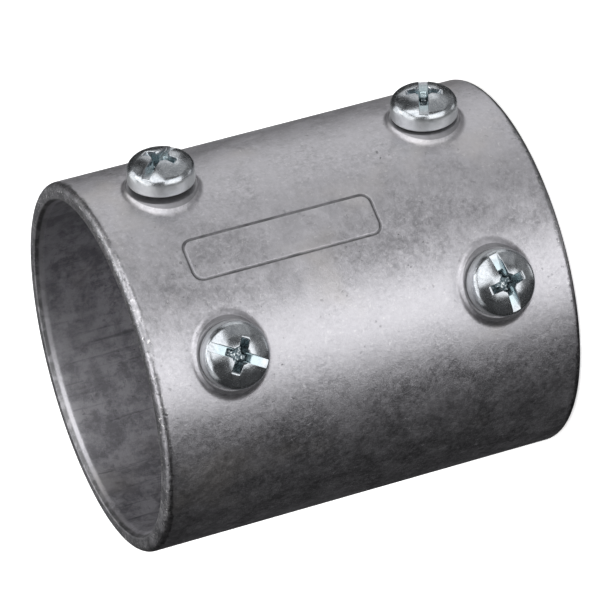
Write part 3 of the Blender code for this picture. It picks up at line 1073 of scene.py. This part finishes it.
def screw_sheets():
    """The sheets in the screw's own axes, and what the material asks of their points."""
    lines = core_lines()
    flat = np.stack(np.meshgrid(lines, lines), -1)
    core, core_sunk = cut_out(flat, dome_height(flat))
    cells = len(lines) - 1
    border = flat[block_border(0, cells, 0, cells)]
    top, top_sunk = head_top(border)
    rim = ring_points(border, HEAD_RADIUS)
    side = head_side(rim)
    side[0] = top[-1]
    shank, tip = shank_and_tip(np.arctan2(rim[:, 1], rim[:, 0]))

    grids = [core, top, side, shank, tip]
    sheets = [sheet(points, wrap=points is not core) for points in grids]
    sunk = [core_sunk, top_sunk] + [np.zeros(points.shape[:2]) for points in grids[2:]]
    recess = [np.clip(values.ravel() / WING_DEPTH, 0.0, 1.0) for values in sunk]
    thread = [np.full(len(values), float(number >= 3)) for number, values in enumerate(recess)]
    wall = [np.full(len(values), float(number == 2)) for number, values in enumerate(recess)]
    fading_in = np.linspace(-1.0, 1.0, SHOULDER_STEPS + 1).clip(0.0, 1.0)
    wall[1][-fading_in.size * len(border) :] = np.repeat(fading_in, len(border))
    return sheets, [("recess", recess), ("thread", thread), ("wall", wall)]


def build_screws():
    """One closed mesh for each screw, turned and set down at its station."""
    sheets, attributes = screw_sheets()
    for name, station in STATIONS.items():
        cosine, sine = math.cos(SLOT_TURNS[name]), math.sin(SLOT_TURNS[name])
        turned = np.array([(cosine, sine), (-sine, cosine)])
        placed = []
        for points, faces in sheets:
            height = station["seat"] + points[:, 2]
            placed.append((at_station(station, points[:, :2] @ turned, height), faces))
        screw = welded(name + "_fine", placed, ZINC, attributes)
        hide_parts(name)
        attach(screw, station["body"])


build_screws()

# %% [markdown]
# ## Floor, background and light
#
# Bright metal shows what stands round it, so the set gives it its form: soft panels with
# dark cloth between them. The camera sees only a pale floor and a white ground.

# %% Floor
FLOOR_SIZE = 3.0
FLOOR_GREY = (0.8, 0.8, 0.8, 1)
FLOOR_GLOW = 0.62
WHITE = (1, 1, 1, 1)
DISC_POINTS = 96
DISC_DEPTH = 0.02 * MM  # the disc lies a hair under the sleeve


def paint(start):
    """The floor's matt grey."""
    return start.node("ShaderNodeBsdfDiffuse", inputs={"Color": FLOOR_GREY})


def white_light(start, strength, kind="ShaderNodeEmission"):
    """A shader that shines white."""
    return start.node(kind, inputs={"Color": WHITE, "Strength": strength})


def close_tree(shader, kind="ShaderNodeOutputMaterial"):
    """Links a shader to the output of its node tree."""
    out = shader.tree.nodes.new(kind)
    shader.tree.links.new(shader.socket, out.inputs["Surface"])


def stage_material(name):
    """A material with an empty node tree, and the wire that its nodes start from."""
    material = bpy.data.materials.new(name)
    material.use_nodes = True
    material.node_tree.nodes.clear()
    return material, Wire(material.node_tree)


def set_piece(name, points, faces, material):
    """A piece of the set, with its material."""
    mesh = bpy.data.meshes.new(name)
    mesh.from_pydata(points, [], faces)
    mesh.materials.append(material)
    made = bpy.data.objects.new(name, mesh)
    scene.collection.objects.link(made)
    return made


def make_floor():
    """A wide square that the metal doesn't mirror and that keeps no light off the part."""
    half = FLOOR_SIZE / 2
    corners = [(-half, -half, 0), (half, -half, 0), (half, half, 0), (-half, half, 0)]
    material, start = stage_material("pale_floor")
    shaders = {0: paint(start), 1: white_light(start, FLOOR_GLOW)}
    close_tree(start.node("ShaderNodeAddShader", inputs=shaders))
    floor = set_piece("floor", corners, [(0, 1, 2, 3)], material)
    floor.visible_glossy = False
    floor.visible_shadow = False


def make_floor_inside():
    """The bit of floor that the sleeve stands round, which its wall keeps the light from."""
    angle = np.arange(DISC_POINTS) * math.tau / DISC_POINTS
    ring = around(angle, BORE_RADIUS + LEAD_IN_WIDTH / 2, -DISC_DEPTH)
    material, start = stage_material("shaded_floor")
    close_tree(paint(start))
    disc = set_piece("floor_inside", ring.tolist(), [tuple(range(DISC_POINTS))], material)


make_floor()
make_floor_inside()
print(f"floor {FLOOR_SIZE} m wide, with its own piece inside the sleeve")

# %% [markdown]
# ## The world
#
# A camera ray that meets nothing sees white, and so does a ray in a mirror or in glass.
# Every other ray gets a dimmer grey, which keeps the shadow on the floor soft.

# %% World
AMBIENT = 0.3


def make_world():
    """White for the camera and for what metal mirrors, and a little light for the floor."""
    world = bpy.data.worlds.new("studio")
    world.use_nodes = True
    world.node_tree.nodes.clear()
    start = Wire(world.node_tree)
    camera_ray = start.node("ShaderNodeLightPath", output="Is Camera Ray")
    clear_ray = camera_ray.other("Is Transmission Ray")
    seen = (camera_ray + camera_ray.other("Is Glossy Ray") + clear_ray).clamped()
    white = white_light(start, 1.0, "ShaderNodeBackground")
    room = white_light(start, AMBIENT, "ShaderNodeBackground")
    both = start.node("ShaderNodeMixShader", inputs={0: seen, 1: room, 2: white})
    close_tree(both, "ShaderNodeOutputWorld")
    world.cycles.sampling_method = "NONE"
    scene.world = world


make_world()
print("room light:", AMBIENT)

# %% [markdown]
# ## Dark cloth
#
# Metal in an all-white room looks like paper. A shell of dark cloth that only the metal
# sees gives it its deep tones. The world's white comes in through the hole at its top.

# %% Dark cloth
TENT_RADIUS = 2.2
TENT_TOP = 80  # degrees of elevation, up and down; the cloth is open beyond
TENT_CELL = 10  # degrees
CLOTH_GLOW = 0.008


def make_tent():
    """A shell of dark cloth, seen only in the metal: part of a sphere, rows by elevation."""
    azimuth = np.radians(np.arange(0, 360, TENT_CELL))[None]
    elevation = np.radians(np.arange(-TENT_TOP, TENT_TOP + 1, TENT_CELL))[:, None]
    x = TENT_RADIUS * np.cos(elevation) * np.sin(azimuth)
    y = -TENT_RADIUS * np.cos(elevation) * np.cos(azimuth)
    z = TENT_RADIUS * np.sin(elevation) + 0 * azimuth
    points, faces = sheet(np.stack([x, y, z], -1), wrap=True)
    material, start = stage_material("dark_cloth")
    close_tree(white_light(start, CLOTH_GLOW))
    tent = set_piece("tent", points.tolist(), faces.tolist(), material)
    tent.visible_camera = False
    tent.visible_shadow = False
    tent.visible_diffuse = False


make_tent()
print(f"cloth up to {TENT_TOP} degrees, {TENT_RADIUS} m away")

# %% [markdown]
# ## Panels of light
#
# Each panel stands where the metal mirrors it. The key makes the long highlight, the side
# and the front panel make the even grey beside it, and the window makes the bright caps
# of the screws. Those behind are for the back.

# %% Panels of light
PANEL_DISTANCE = 1.2


def panel(name, azimuth, elevation, width, height, brightness):
    """A rectangle of soft light seen from the part in a direction, with its size in degrees.

    Brightness is what a mirror would show of it, where 1 is white. A lamp's power is its
    area times pi times that brightness.
    """
    data = bpy.data.lights.new(name, "AREA")
    data.shape = "RECTANGLE"
    data.size = 2 * PANEL_DISTANCE * math.tan(math.radians(width / 2))
    data.size_y = 2 * PANEL_DISTANCE * math.tan(math.radians(height / 2))
    data.energy = brightness * data.size * data.size_y * math.pi
    lamp = bpy.data.objects.new(name, data)
    a, e = math.radians(azimuth), math.radians(elevation)
    back = Vector((math.sin(a) * math.cos(e), -math.cos(a) * math.cos(e), math.sin(e)))
    lamp.location = middle + back * PANEL_DISTANCE
    lamp.rotation_euler = back.to_track_quat("Z", "Y").to_euler()
    lamp.visible_camera = False
    scene.collection.objects.link(lamp)
    print(f"{name}: {brightness} at {azimuth}, {elevation}")


panel("key", -38, -18, 41, 56, 2.1)
panel("side", 80, -17, 46, 40, 0.9)
panel("front", 34, -25, 56, 50, 0.46)
panel("window", 8, 28, 62, 44, 2.1)
panel("above", 0, 74, 60, 36, 1.8)
panel("back", 112, 58, 50, 36, 1.6)
panel("behind", 150, -6, 36, 56, 0.15)
panel("rear", -128, 62, 60, 34, 0.7)
panel("overhead", 80, 34, 30, 30, 0.3)
panel("left", -95, -15, 50, 60, 0.02)
panel("low", 20, -70, 80, 36, 0.2)

# %% [markdown]
# ## The view transform
#
# Colours go to the picture as they are, with the standard view transform.

# %% Finish
scene.view_settings.view_transform = "Standard"
